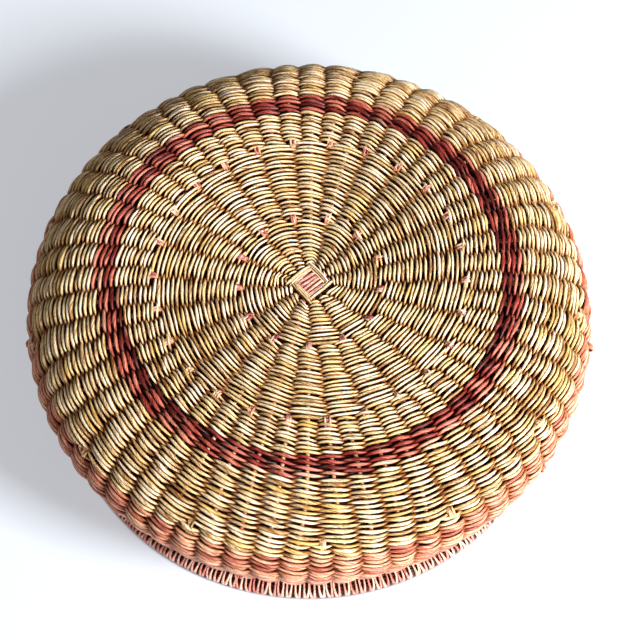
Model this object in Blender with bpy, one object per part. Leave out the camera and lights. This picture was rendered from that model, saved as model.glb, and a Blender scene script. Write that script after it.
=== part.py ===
"""A round basket of two-strand twined straw, lying on its mouth with its base up.

Metres, +Z up. The origin is on the surface the rim stands on, under the middle of the base.
Stakes run out from the square start like spokes, over the shoulder and down the wall to the rim.
Each row of weaving has a strand outside the stakes and a strand inside them, so the weaving is
two skins of straw, split where its colour changes, with the stakes between them.
"""

import math

import bmesh
import bpy
import numpy as np
from mathutils import Vector

# Outer form, over the ribs
basket_height = 0.110
belly_radius = 0.150
belly_height = 0.066
flat_radius = 0.0885
foot_radius = 0.1285
dish_depth = 0.006
wall_curve_power = 1.15

# Straw
stake_radius = 0.0011
strand_thickness = 0.0021
rib_depth = 0.0020
rib_curve_power = 1.75
clearance = 0.0003

# Square start
start_half_side = 0.0080
binding_width = 0.0030
binding_thickness = 0.0012
binding_groove = 0.0004
rod_pitch = 0.0025
crossing_cover = 0.0008

# Rings of added stakes and bands of colour, as radii and widths of the outer form seen from above
first_ring_radius = 0.037
second_ring_radius = 0.0805
rows_before_red_width = 0.0190
red_band_width = 0.0120
third_ring_past_red = 0.0320
natural_wall_width = 0.0340
ring_step = 0.0015

# Rim, which stands out from the wall
rim_width = 0.0131
rim_height = 0.0085
rim_stand_out = 0.0060
whipping_thickness = 0.0016
core_radius = 0.0023

# Counts
first_stakes = 13
stakes_in_group = 5
columns_in_base_group = 4
base_column_steps = 2
wall_column_steps = 4
inner_steps = 39
rim_steps = 65
core_sides = 8
seat_steps = 4
binding_sides = 4
shoulder_parts = 3
lower_wall_parts = 2

# Slots of a group of five stakes: 0 is a first stake, and the rings of added stakes take the others
first_ring_slot = 2
second_ring_slots = (1, 4)
third_ring_slot = 3
# Slots 0 to 12 of the first stakes that each rod of the start makes, with the rod's side of the middle one
rods_over = ((2, 7, 1), (1, 8, 0), (0, 9, -1))
rods_under = ((5, 10, 1), (4, 11, 0), (3, 12, -1))
single_stake = 6

# Where each stake of a group stands at the edge of the base and at the belly
base_shares = (0.0, 0.25, 0.5, 0.625, 0.75, 1.0)
belly_shares = (0.0, 0.2, 0.4, 0.6, 0.8, 1.0)
# The rim's section from its inner lip down, under and up over the core, as shares of its width and height
rim_shares = ((0.02, 1.0), (0.0, 0.55), (0.06, 0.16), (0.2, 0.0), (0.82, 0.0),
              (0.96, 0.17), (1.0, 0.46), (0.94, 0.76), (0.8, 0.95), (0.6, 1.0))
# How far a stake bent into the core has turned at its bend, out and down, as shares of its way there
bend_shares = (0.25, 0.55)
# Across one side of the start binding: shares of its width, and of its groove's depth
binding_width_shares = (0.0, 0.22, 0.5, 0.78, 1.0)
binding_groove_shares = (1.0, 0.0, 1.0, 0.0, 1.0)
# Points of each stretch of the traced form
trace_points = 1200

group_turn = 2 * math.pi / first_stakes
first_turn = group_turn / 4
start_corner_turn = -first_turn
start_turn = start_corner_turn + math.pi / 4
cover = stake_radius + clearance + strand_thickness
strand_floor = stake_radius + clearance
floor_depth = strand_floor - clearance / 2

sharp_angle = math.radians(50)
weld_share = 0.01
collection_name = "egg_basket"
helper_name = "egg_basket_helpers"


def clear_scene():
    for obj in list(bpy.data.objects):
        bpy.data.objects.remove(obj, do_unlink=True)


def make_collections():
    parts = bpy.data.collections.new(collection_name)
    helpers = bpy.data.collections.new(helper_name)
    for collection in (parts, helpers):
        bpy.context.scene.collection.children.link(collection)
    return parts, helpers


def straw_material(name, colour, roughness=0.62):
    material = bpy.data.materials.new(name)
    material.use_nodes = True
    shader = material.node_tree.nodes["Principled BSDF"]
    shader.inputs["Base Color"].default_value = (*colour, 1.0)
    shader.inputs["Roughness"].default_value = roughness
    shader.inputs["Metallic"].default_value = 0.0
    material.diffuse_color = (*colour, 1.0)
    return material


def trace_wall():
    """The middle of the wall from the centre of the base to the floor: distance, radius, height, normal."""
    base = np.linspace(0, flat_radius, trace_points)[:-1]
    base_height = basket_height - dish_depth * (1 + np.cos(np.pi * base / flat_radius)) / 2
    turn = np.linspace(0, np.pi / 2, trace_points)[:-1]
    shoulder = flat_radius + (belly_radius - flat_radius) * np.sin(turn)
    shoulder_height = belly_height + (basket_height - belly_height) * np.cos(turn)
    down = np.linspace(0, 1, trace_points)
    wall = belly_radius - (belly_radius - foot_radius) * down**wall_curve_power
    wall_height = belly_height * (1 - down)
    outer_radius = np.concatenate((base, shoulder, wall))
    outer_height = np.concatenate((base_height, shoulder_height, wall_height))
    along_radius = np.gradient(outer_radius)
    along_height = np.gradient(outer_height)
    length = np.hypot(along_radius, along_height)
    normal_radius = -along_height / length
    normal_height = along_radius / length
    radius = np.maximum(outer_radius - normal_radius * cover, 0)
    height = outer_height - normal_height * cover
    steps = np.hypot(np.diff(radius), np.diff(height))
    distance = np.concatenate(([0], np.cumsum(steps)))
    return {
        "distance": distance,
        "radius": radius,
        "height": height,
        "normal_radius": normal_radius,
        "normal_height": normal_height,
        "outer_radius": outer_radius,
        "belly": 2 * (trace_points - 1),
    }


wall_trace = trace_wall()


def wall_point(distance, offset):
    """Radius and height of the point that lies offset outside the middle of the wall."""
    read = [np.interp(distance, wall_trace["distance"], wall_trace[key])
            for key in ("radius", "height", "normal_radius", "normal_height")]
    return read[0] + read[2] * offset, read[1] + read[3] * offset


def distance_at(radius):
    """Distance along the wall where the outer form has this radius, above the belly."""
    above = slice(0, wall_trace["belly"])
    return float(np.interp(radius, wall_trace["outer_radius"][above], wall_trace["distance"][above]))


def distance_down_to(height, offset):
    """Distance along the lower wall where the line that lies offset outside its middle has this height."""
    below = wall_trace["distance"][wall_trace["belly"]:]
    return float(np.interp(-height, -wall_point(below, offset)[1], below))


red_inner_radius = second_ring_radius + rows_before_red_width
red_outer_radius = red_inner_radius + red_band_width

start_line = distance_at(start_half_side + clearance)
first_ring = distance_at(first_ring_radius)
second_ring = distance_at(second_ring_radius)
red_start = distance_at(red_inner_radius)
red_end = distance_at(red_outer_radius)
third_ring = distance_at(red_outer_radius + third_ring_past_red)
pink_start = distance_at(red_outer_radius + natural_wall_width)
belly_line = float(wall_trace["distance"][wall_trace["belly"]])
skin_end = distance_down_to(rim_height + clearance, cover)
inner_end = distance_down_to(rim_height + clearance, -strand_floor)
stake_end = distance_down_to(rim_height - whipping_thickness, 0)
bent_stake_end = distance_down_to(rim_height, 0)
rim_outer_radius = float(wall_point(skin_end, cover)[0]) + rim_stand_out
rim_inner_radius = rim_outer_radius - rim_width
core_ring_radius = rim_outer_radius - whipping_thickness - clearance - core_radius
core_height = whipping_thickness + clearance + core_radius


def shoulder_stations():
    """Lines across the wall that skins and stakes share, so that their straight runs stay parallel."""
    to_third = np.linspace(red_end, third_ring, shoulder_parts)
    to_belly = [pink_start, belly_line]
    to_foot = np.linspace(belly_line, skin_end, lower_wall_parts + 1)[1:-1]
    return [*to_third, *to_belly, *to_foot]


stations = sorted([first_ring, first_ring + ring_step, second_ring, second_ring + ring_step,
                   red_start, *shoulder_stations()])


def stations_between(start, end):
    inside = [line for line in stations if start + clearance < line < end - clearance]
    return [start, *inside, end]


def column_turn(column, distance):
    """Turn of a rib or groove of the wall: uneven at the base's edge, where ribs are added, then even."""
    mix = np.clip((distance - red_end) / (belly_line - red_end), 0, 1)
    mix = mix * mix * (3 - 2 * mix)
    group, slot = np.divmod(column, stakes_in_group)
    places = np.arange(stakes_in_group + 1)
    on_base = np.interp(slot, places, base_shares)
    on_belly = np.interp(slot, places, belly_shares)
    return first_turn + group_turn * (group + on_base + (on_belly - on_base) * mix)


def base_column_turn(column, distance):
    return first_turn + group_turn * column / columns_in_base_group


def plain_turn(column, distance):
    return column


def base_rib_place(column, distance):
    """Share of the way across a rib, four columns wide at the start and half as wide past each ring."""
    past_rings = (distance > first_ring + clearance).astype(int) + (distance > second_ring + clearance)
    return column * 2**past_rings / columns_in_base_group % 1


def red_rib_place(column, distance):
    return column % 1


def wall_rib_place(column, distance):
    """Share of the way across a rib; the third ring's stakes have ribs of their own only past that ring."""
    from_third = column % stakes_in_group - third_ring_slot
    not_yet = (distance < third_ring - clearance) & (np.abs(from_third) < 1)
    return np.where(not_yet, (from_third + 1) / 2, column % 1)


def square_edge(turn, half_side):
    """Distance from the centre to the edge of the square start, which is turned off the X axis."""
    from_side = turn - start_turn
    return half_side / np.maximum(np.abs(np.cos(from_side)), np.abs(np.sin(from_side)))


def add_object(name, data, material, parts):
    obj = bpy.data.objects.new(name, data)
    obj.data.materials.append(material)
    parts.objects.link(obj)
    return obj


def turned_mesh(name, outline, steps, first=0.0):
    """Spins a closed outline of (radius, height) pairs once round the Z axis."""
    mesh = bmesh.new()
    rim = [mesh.verts.new((radius * math.cos(first), radius * math.sin(first), height))
           for radius, height in outline]
    edges = [mesh.edges.new((vert, rim[index - 1])) for index, vert in enumerate(rim)]
    bmesh.ops.spin(mesh, geom=rim + edges, cent=(0, 0, 0), axis=(0, 0, 1),
                   angle=2 * math.pi, steps=steps, use_merge=True)
    bmesh.ops.recalc_face_normals(mesh, faces=mesh.faces)
    data = bpy.data.meshes.new(name)
    mesh.to_mesh(data)
    mesh.free()
    data.shade_smooth()
    data.set_sharp_from_angle(angle=sharp_angle)
    return data


def lay_on_wall(data, steps, turn_of, rib_place, middle_offset, columns):
    """Lays a flat washer, whose radius is distance along the wall, on the wall.

    Between its ribs a ribbed skin sinks to grooves: its top by the rib's depth, its floor almost to
    the middle of the wall, both by a power of the way from rib to groove.
    """
    places = np.empty(len(data.vertices) * 3)
    data.vertices.foreach_get("co", places)
    places = places.reshape(-1, 3)
    distance = np.hypot(places[:, 0], places[:, 1])
    offset = places[:, 2]
    step = np.round(np.arctan2(places[:, 1], places[:, 0]) / (2 * np.pi) * steps) % steps
    column = step * columns / steps
    turn = turn_of(column, distance)
    at_start = distance < start_line + clearance
    edge = square_edge(turn, start_half_side + clearance)
    distance = np.where(at_start, edge, distance)
    if rib_place:
        way_to_groove = 1 - np.abs(2 * rib_place(column, distance) - 1)
        depth = np.where(offset > middle_offset, rib_depth, floor_depth)
        offset = offset - depth * way_to_groove**rib_curve_power
    radius, height = wall_point(distance, offset)
    places = np.stack((radius * np.cos(turn), radius * np.sin(turn), height), axis=1)
    data.vertices.foreach_set("co", places.ravel())
    data.update()
    mesh = bmesh.new()
    mesh.from_mesh(data)
    bmesh.ops.recalc_face_normals(mesh, faces=mesh.faces)
    mesh.to_mesh(data)
    mesh.free()


def add_skin(name, start, end, columns, column_steps, turn_of, rib_place, material, parts, end_trim=True):
    """One outer skin of weaving, ribbed over the stakes."""
    first = start + (0 if start == start_line else clearance / 2)
    last = end - (clearance / 2 if end_trim else 0)
    lines = stations_between(first, last)
    top = [(line, cover) for line in lines]
    bottom = [(line, strand_floor) for line in reversed(lines)]
    steps = columns * column_steps
    data = turned_mesh(name, top + bottom, steps)
    middle = strand_floor + strand_thickness / 2
    lay_on_wall(data, steps, turn_of, rib_place, middle, columns)
    return add_object(name, data, material, parts)


def add_inner_skin(name, start, end, material, parts, end_trim=True):
    """One inner skin of weaving, plain."""
    first = start + (0 if start == start_line else clearance / 2)
    last = end - (clearance / 2 if end_trim else 0)
    lines = stations_between(first, last)
    top = [(line, -strand_floor) for line in lines]
    bottom = [(line, -cover) for line in reversed(lines)]
    data = turned_mesh(name, top + bottom, inner_steps)
    lay_on_wall(data, inner_steps, plain_turn, None, cover, 2 * math.pi)
    return add_object(name, data, material, parts)


def straw_curve(name, points, material, parts):
    """A straw: a straight-run curve with a round section and closed ends."""
    curve = bpy.data.curves.new(name, "CURVE")
    curve.dimensions = "3D"
    curve.bevel_depth = stake_radius
    curve.bevel_resolution = 0
    curve.use_fill_caps = True
    spline = curve.splines.new("POLY")
    spline.points.add(len(points) - 1)
    for point, place in zip(spline.points, points):
        point.co = (*place, 1.0)
    return add_object(name, curve, material, parts)


def stake_points(slot, start, end=stake_end):
    """Points of a stake from its inner end into the mouth of the rim, along the middle of the wall."""
    points = []
    for line in stations_between(start, end):
        turn = float(column_turn(slot, line))
        radius, height = wall_point(line, 0)
        points.append(Vector((radius * math.cos(turn), radius * math.sin(turn), height)))
    return points


def first_stake_points(index):
    slot = index * stakes_in_group
    turn = float(column_turn(slot, start_line))
    return stake_points(slot, float(square_edge(turn, start_half_side + clearance)))


def crossing_points(direction, lateral, over):
    """The stretch of one half of a rod that lies in the square start, from the middle outwards."""
    along = Vector((math.cos(direction), math.sin(direction), 0))
    across = Vector((0, 0, 1)).cross(along)
    top = basket_height - dish_depth
    upper = crossing_cover + stake_radius
    crossing = rod_pitch + stake_radius
    if over:
        under_binding = binding_thickness + clearance + stake_radius
        places = ((crossing, upper), (start_half_side - binding_width, under_binding))
    else:
        places = ((crossing, upper + 2 * stake_radius + 2 * clearance),)
    return [along * place + across * lateral + Vector((0, 0, top - depth)) for place, depth in places]


def add_start_rods(pink, natural, parts):
    """Six rods crossing three over three, each giving two stakes, and a single one for the odd stake."""
    for index, (head, tail, side) in enumerate(rods_over + rods_under):
        over = index < len(rods_over)
        direction = start_turn if over else start_turn + math.pi / 2
        lateral = side * rod_pitch
        head_points = crossing_points(direction, lateral, over) + first_stake_points(head)
        tail_points = crossing_points(direction + math.pi, -lateral, over) + first_stake_points(tail)
        points = list(reversed(tail_points)) + head_points
        straw_curve(f"start_rod_{index + 1}", points, pink if over else natural, parts)
    single = stake_points(single_stake * stakes_in_group, start_half_side)
    straw_curve("start_rod_single", single, natural, parts)


def add_start_binding(material, parts):
    """The square of straw laid round the crossing, two strands a side with a groove between them."""
    top = wall_point(0, cover)[1]
    corner = math.sqrt(2)
    outline = [((start_half_side - binding_width * across) * corner, top - binding_groove * down)
               for across, down in zip(binding_width_shares, binding_groove_shares)]
    floor = top - binding_thickness
    outline += [((start_half_side - binding_width) * corner, floor), (start_half_side * corner, floor)]
    data = turned_mesh("start_binding", outline, binding_sides, start_corner_turn)
    return add_object("start_binding", data, material, parts)


def add_ring_stakes(material, parts):
    """Stakes pushed in beside the others: one between each pair at the first ring, then at the second."""
    for index in range(first_stakes):
        points = stake_points(index * stakes_in_group + first_ring_slot, first_ring + ring_step)
        straw_curve(f"first_ring_stake_{index + 1:02d}", points, material, parts)
    second_slots = [group * stakes_in_group + slot
                    for group in range(first_stakes) for slot in second_ring_slots]
    for index, slot in enumerate(second_slots):
        points = stake_points(slot, second_ring + ring_step)
        straw_curve(f"second_ring_stake_{index + 1:02d}", points, material, parts)


def curve_as_mesh(obj):
    """A curve object made a mesh object with its caps welded."""
    bpy.context.view_layer.update()
    evaluated = obj.evaluated_get(bpy.context.evaluated_depsgraph_get())
    data = bpy.data.meshes.new_from_object(evaluated)
    mesh = bmesh.new()
    mesh.from_mesh(data)
    bmesh.ops.remove_doubles(mesh, verts=mesh.verts, dist=stake_radius * weld_share)
    bmesh.ops.recalc_face_normals(mesh, faces=mesh.faces)
    mesh.to_mesh(data)
    mesh.free()
    bpy.data.objects.remove(obj, do_unlink=True)
    return data


def add_rim_core(material, parts, helpers):
    """The bundle of stake ends laid along the rim, with the third ring's stakes bent into it."""
    ring = [(core_ring_radius + core_radius * math.cos(turn), core_height + core_radius * math.sin(turn))
            for turn in np.linspace(0, 2 * math.pi, core_sides, endpoint=False)]
    core = add_object("rim_core", turned_mesh("rim_core", ring, rim_steps, first_turn), material, parts)
    joined = bmesh.new()
    for index in range(first_stakes):
        slot = index * stakes_in_group + third_ring_slot
        points = stake_points(slot, third_ring + clearance, bent_stake_end)
        out = points[-1].xy.normalized()
        end = Vector((*(out * core_ring_radius), core_height))
        way = end - points[-1]
        bend = points[-1] + Vector((way.x * bend_shares[0], way.y * bend_shares[0], way.z * bend_shares[1]))
        stake = straw_curve("third_ring_stake", points + [bend, end], material, helpers)
        joined.from_mesh(curve_as_mesh(stake))
    data = bpy.data.meshes.new("third_ring_stakes")
    joined.to_mesh(data)
    joined.free()
    stakes = add_object("third_ring_stakes", data, material, helpers)
    stakes.hide_render = True
    stakes.display_type = "WIRE"
    join = core.modifiers.new("third ring stakes", "BOOLEAN")
    join.operation = "UNION"
    join.object = stakes
    return core


def add_rim_whipping(material, parts):
    """The straw sewn over the core: a hollow roll with a flat foot, open above where the stakes come in."""
    outside = [(rim_inner_radius + rim_width * across, rim_height * up) for across, up in rim_shares]
    wall = whipping_thickness
    inner_side = rim_inner_radius + wall
    lip = outside[-1][0]
    seat = (core_radius + clearance) / math.cos(math.pi / (2 * seat_steps))
    seat_of_core = [(core_ring_radius + seat * math.cos(turn), core_height + seat * math.sin(turn))
                    for turn in np.linspace(math.pi / 2, -math.pi / 2, seat_steps + 1)]
    inside = [(lip, rim_height - wall), *seat_of_core, (inner_side + wall / 2, wall),
              (inner_side, rim_height / 2), (inner_side + rim_width * rim_shares[0][0], rim_height)]
    data = turned_mesh("rim_whipping", outside + inside, rim_steps, first_turn)
    return add_object("rim_whipping", data, material, parts)


def build():
    clear_scene()
    parts, helpers = make_collections()
    natural = straw_material("natural straw", (0.50, 0.32, 0.11))
    natural_stake = straw_material("natural stake straw", (0.36, 0.22, 0.08), 0.7)
    red = straw_material("deep red straw", (0.23, 0.03, 0.022))
    pink = straw_material("salmon straw", (0.55, 0.17, 0.10))
    pink_stake = straw_material("salmon stake straw", (0.47, 0.12, 0.075), 0.7)
    inner = straw_material("inner straw", (0.42, 0.26, 0.09), 0.72)

    add_start_rods(pink_stake, natural_stake, parts)
    add_start_binding(natural, parts)
    add_ring_stakes(natural_stake, parts)

    base_count = first_stakes * columns_in_base_group
    wall_count = first_stakes * stakes_in_group
    add_skin("base_weft_outer", start_line, red_start, base_count, base_column_steps,
             base_column_turn, base_rib_place, natural, parts)
    add_skin("red_weft_outer", red_start, red_end, base_count, wall_column_steps,
             base_column_turn, red_rib_place, red, parts)
    add_skin("wall_weft_outer", red_end, pink_start, wall_count, wall_column_steps,
             column_turn, wall_rib_place, natural, parts)
    add_skin("pink_weft_outer", pink_start, skin_end, wall_count, wall_column_steps,
             column_turn, wall_rib_place, pink, parts, False)

    add_inner_skin("base_weft_inner", start_line, red_start, inner, parts)
    add_inner_skin("red_weft_inner", red_start, red_end, red, parts)
    add_inner_skin("wall_weft_inner", red_end, pink_start, inner, parts)
    add_inner_skin("pink_weft_inner", pink_start, inner_end, pink, parts, False)

    add_rim_core(natural_stake, parts, helpers)
    add_rim_whipping(pink, parts)


build()
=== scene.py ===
import math
import bpy
import numpy as np
from mathutils import Matrix, Vector


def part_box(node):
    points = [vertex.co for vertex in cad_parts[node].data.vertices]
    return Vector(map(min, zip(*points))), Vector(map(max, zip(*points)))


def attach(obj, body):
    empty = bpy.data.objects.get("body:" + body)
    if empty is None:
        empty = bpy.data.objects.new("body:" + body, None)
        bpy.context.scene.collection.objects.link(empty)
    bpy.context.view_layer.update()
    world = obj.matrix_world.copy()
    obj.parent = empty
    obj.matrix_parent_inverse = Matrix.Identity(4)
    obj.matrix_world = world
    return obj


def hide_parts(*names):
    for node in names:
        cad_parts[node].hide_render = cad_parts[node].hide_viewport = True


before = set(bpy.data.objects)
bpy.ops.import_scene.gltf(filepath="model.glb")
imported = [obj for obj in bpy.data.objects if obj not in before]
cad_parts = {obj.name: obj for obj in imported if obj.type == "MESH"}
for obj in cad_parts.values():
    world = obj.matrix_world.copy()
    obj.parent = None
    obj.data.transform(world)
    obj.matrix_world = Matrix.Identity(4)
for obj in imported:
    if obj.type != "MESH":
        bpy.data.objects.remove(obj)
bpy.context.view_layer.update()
print("frame loaded:", len(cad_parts), "nodes")

# The outer form over the ribs, in metres. It repeats the frame's own sizes.
form = {
    "height": 0.110,
    "bellyRadius": 0.150,
    "bellyHeight": 0.066,
    "flatRadius": 0.0885,
    "footRadius": 0.1285,
    "dishDepth": 0.006,
    "wallCurve": 1.15,
    "cover": 0.0035,  # from the middle of the wall out to the top of a rib
    "tracePoints": 1200,
}

# Where the rings of added stakes and the colours begin, as radii of the outer form seen from above
bands = {
    "startHalfSide": 0.0080,
    "firstRing": 0.037,
    "secondRing": 0.0805,
    "red": 0.0995,
    "wall": 0.1115,
    "pink": 0.1455,
}

# Stakes stand in thirteen groups of five. Shares of a group's width at the base's edge and at the belly.
stakePlan = {
    "groups": 13,
    "slots": 5,
    "baseShares": (0.0, 0.25, 0.5, 0.625, 0.75, 1.0),
    "bellyShares": (0.0, 0.2, 0.4, 0.6, 0.8, 1.0),
}
groupTurn = 2 * math.pi / stakePlan["groups"]
firstTurn = groupTurn / 4
startCorner = -firstTurn  # turn of the square start's corner
startTurn = startCorner + math.pi / 4


# The middle of the wall from the centre of the base to the floor: the outer form (a dished base, a quarter of
# an ellipse for the shoulder, a power curve for the lower wall), moved inwards along its normal by the cover.
def traceWall():
    count = form["tracePoints"]
    base = np.linspace(0, form["flatRadius"], count)[:-1]
    baseHeight = form["height"] - form["dishDepth"] * (1 + np.cos(np.pi * base / form["flatRadius"])) / 2
    turn = np.linspace(0, np.pi / 2, count)[:-1]
    shoulder = form["flatRadius"] + (form["bellyRadius"] - form["flatRadius"]) * np.sin(turn)
    shoulderHeight = form["bellyHeight"] + (form["height"] - form["bellyHeight"]) * np.cos(turn)
    down = np.linspace(0, 1, count)
    lower = form["bellyRadius"] - (form["bellyRadius"] - form["footRadius"]) * down**form["wallCurve"]
    outerRadius = np.concatenate((base, shoulder, lower))
    outerHeight = np.concatenate((baseHeight, shoulderHeight, form["bellyHeight"] * (1 - down)))
    alongRadius = np.gradient(outerRadius)
    alongHeight = np.gradient(outerHeight)
    length = np.hypot(alongRadius, alongHeight)
    normal = np.stack((-alongHeight / length, alongRadius / length))
    radius = np.maximum(outerRadius - normal[0] * form["cover"], 0)
    height = outerHeight - normal[1] * form["cover"]
    distance = np.concatenate(([0], np.cumsum(np.hypot(np.diff(radius), np.diff(height)))))
    return {"distance": distance, "radius": radius, "height": height, "normalRadius": normal[0],
            "normalHeight": normal[1], "outerRadius": outerRadius, "belly": 2 * (count - 1)}


wallTrace = traceWall()


# Radius and height at a distance down the wall: the middle line there, plus the normal times the offset.
def wallPoint(distance, offset):
    radius, height, outRadius, outHeight = (np.interp(distance, wallTrace["distance"], wallTrace[key])
                                            for key in ("radius", "height", "normalRadius", "normalHeight"))
    return radius + outRadius * offset, height + outHeight * offset


# Distance down the wall at which the outer form has a radius, above the belly.
def distanceAt(radius):
    above = slice(0, wallTrace["belly"])
    return float(np.interp(radius, wallTrace["outerRadius"][above], wallTrace["distance"][above]))


# Distance down the lower wall at which its middle has a height.
def distanceDownTo(height):
    below = wallTrace["distance"][wallTrace["belly"]:]
    return float(np.interp(-height, -wallPoint(below, 0)[1], below))


# Points in space from distances, offsets and turns: the wall's radius and height, turned round the Z axis.
def onWall(distance, offset, turn):
    radius, height = wallPoint(distance, offset)
    return np.stack((radius * np.cos(turn), radius * np.sin(turn), height), axis=-1)


# Turn of a stake: its group's turn, plus a share of the group that eases from the base's to the belly's.
def stakeTurn(slot, distance):
    mix = np.clip((distance - redEnd) / (bellyLine - redEnd), 0, 1)
    mix = mix * mix * (3 - 2 * mix)
    group, place = np.divmod(slot, stakePlan["slots"])
    slots = np.arange(stakePlan["slots"] + 1)
    onBase = np.interp(place, slots, stakePlan["baseShares"])
    onBelly = np.interp(place, slots, stakePlan["bellyShares"])
    return firstTurn + groupTurn * (group + onBase + (onBelly - onBase) * mix)


# Distance from the centre to the edge of the square start: half its side over the larger of the cosine and
# sine of the turn from the middle of a side.
def squareEdge(turn):
    fromSide = turn - startTurn
    return bands["startHalfSide"] / np.maximum(np.abs(np.cos(fromSide)), np.abs(np.sin(fromSide)))


startLine = distanceAt(bands["startHalfSide"])
firstRing = distanceAt(bands["firstRing"])
secondRing = distanceAt(bands["secondRing"])
redStart = distanceAt(bands["red"])
redEnd = distanceAt(bands["wall"])
pinkStart = distanceAt(bands["pink"])
bellyLine = float(wallTrace["distance"][wallTrace["belly"]])

rim = {
    "height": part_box("rim_whipping")[1].z,
    "outer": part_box("rim_whipping")[1].x,
    "width": 0.0131,
    "stitchesPerStake": 3,
    "firstShare": 0.185,  # where the first stitch of a column stands, clear of the stake
    "halfThickness": 0.00070,
    "topHalfWidth": 0.00058,  # of a strand where it comes out of the weaving
    "footHalfWidth": 0.00128,  # and where it turns round on the floor
    "spread": 0.00130,  # half the way between a stitch's two strands at the top
    "gather": 0.00045,  # and at the foot, where they come together
    "closeFrom": 0.04,  # shares of the way down between which a stitch's strands come together
    "closeTo": 0.74,
    "clearOfFloor": 0.00012,
    "lean": (-0.0007, 0.0018), # how far a stitch moves on round the rim from its top to its foot
    "wobble": 0.00025,  # how far a strand strays along the rim
    "uneven": (-0.0012, 0.0008),  # and to or from the middle of the basket, as a share of its radius
    "power": 2.5,  # of the superellipse that a stitch follows
    "steps": 16,
    "sides": 6,
    "fibreStep": 0.003,  # metres of fibre from ring to ring of a strand
    "fibreStart": 0.31,  # and from strand to strand, so that no two look alike
    "tone": (0.15, 0.9),
    "cream": (-0.6, 0.7),  # share of cream in a strand
    "creamLoss": 0.5,  # what it loses on its way down
    "paintedCreamHighlight": 0.55,  # and how much more of it one side of the strand has, as a painted highlight
    # painted light round each strand: darker on one side, down to a painted nook shade
    "light": {"slope": 0.8, "level": 0.45, "paintedNook": 0.10},
    "seed": 11,
}
rimInner = rim["outer"] - rim["width"]
rimMiddle = rimInner + rim["width"] / 2

# The third ring's stakes come in at uneven places: distance down the wall, and how far each reaches past it
thirdRing = {
    "slot": 3,
    "distance": 0.149,
    "reach": (0.0, 0.004, 0.011, 0.013, 0.006, 0.002, 0.005, 0.001, -0.003, -0.006, -0.004, -0.007, -0.002),
}

weave = {
    "rows": (0, 12, 30.5, 38.5, 42.5, 58.5, 82.5),  # counted from the start to each ring or colour
    "stakes": (13, 26, 52, 52, 65, 65),
    "firstRowGap": 0.0011,  # from the square start to the middle of the first row
    "lastRowGap": 0.0019,  # and from the last row to the rim
    "pinkGrowth": 0.116,  # how much the pink rows open out towards the rim
    "stepsPerStake": 9,
    "sides": 8,
    "floatHeight": 0.00260,  # of the middle of a float over the middle of the wall
    "crossingLift": 0.0003,  # of two strands' middles where they cross between stakes
    "roundness": 0.90,  # power of the cosine that a strand follows, lower is flatter over the stake
    "halfThickness": 0.00100,
    "halfWidth": (0.37, 0.45), # of a float on the base and on the belly, as a share of the row
    "innerHalfWidth": 0.56,  # inside the stakes, where the rows press together
    "crossingHalfWidth": 0.23,
    "onEdge": 0.45,  # how much thicker a strand is where it crosses the other, on its narrow edge
    "taper": 1.35,  # power of the float's rise that its width follows
    "slant": 0.29,  # how far a strand moves across its row, as a share of the row
    "squareFade": 0.021,  # distance at which the rows round the square start have become round
    "twist": 260.0,  # radians a metre of the fibres round a strand
    "seed": 5,
}
lastRow = distanceDownTo(rim["height"] + weave["lastRowGap"])

# How much the straw of the weaving differs, mostly as shares, and after how many stakes it changes
uneven = {
    "along": (0.09, 0.5),  # how far a crossing strays from the middle between two stakes
    "across": (0.18, 1.0),  # and a strand from its row
    "thickness": 0.10,
    "height": (0.00028, 1.7),  # metres by which one float lies higher than another
    "slant": 0.08,
    "width": 0.16,
    "thinning": (0.18, 11.0),  # how much a straw's width changes from length to length
    "fibreStart": (0.0, 3.7),  # metres of fibre at which the two strands begin
    "tone": (0.08, 0.88, 0.045),  # of a straw, and after how many metres the next straw comes
    "floatTone": (0.36, 0.5),
    "hueLength": 0.03,
}


# Rows lie on one spiral: distance down the wall is read between the bands' edges, and the pink rows
# open out by a parabola.
def rowDistance(turns):
    ends = np.array([startLine + weave["firstRowGap"], firstRing, secondRing, redStart, redEnd, pinkStart])
    base = np.interp(turns, weave["rows"][:-1], ends)
    first, last = weave["rows"][-2:]
    share = np.clip((turns - first) / (last - first), 0, 1)
    bend = weave["pinkGrowth"] * (share * share - share)
    return np.where(turns > first, pinkStart + (lastRow - pinkStart) * (share + bend), base)


# Turns at which the spiral passes each stake, band by band: even on the base, eased on the wall.
def stakesPassed():
    passed = []
    for first, last, count in zip(weave["rows"], weave["rows"][1:], weave["stakes"]):
        row = np.arange(math.floor(first) - 1, math.ceil(last) + 1)[:, None]
        stake = np.arange(count)[None, :]
        turns = row + stake / count
        if count == stakePlan["groups"] * stakePlan["slots"]:
            turns = row + (stakeTurn(stake, rowDistance(turns)) - firstTurn) / (2 * np.pi)
            group, slot = np.divmod(stake, stakePlan["slots"])
            comesIn = thirdRing["distance"] + np.array(thirdRing["reach"])[group]
            turns = turns[(slot != thirdRing["slot"]) | (rowDistance(turns) > comesIn)]
        turns = turns.ravel()
        passed.append(turns[(turns >= first) & (turns < last)])
    return np.concatenate(passed)


passedTurns = stakesPassed()


# Random values that change smoothly along a strand: one value at each step, read between them.
def wander(draws, places, step, low, high):
    count = int(places.max() / step) + 3
    values = draws.uniform(low, high, count)
    return np.interp(places / step, np.arange(count), values)


# The same for several strands, each at its own row of places.
def wanderEach(draws, places, step, low, high):
    return np.stack([wander(draws, row, step, low, high) for row in places])


# Metres along each path, from the lengths of its steps.
def pathLengths(path):
    steps = np.linalg.norm(np.diff(path, axis=1), axis=-1)
    return np.concatenate((np.zeros((len(path), 1)), np.cumsum(steps, axis=1)), axis=1)


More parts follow.
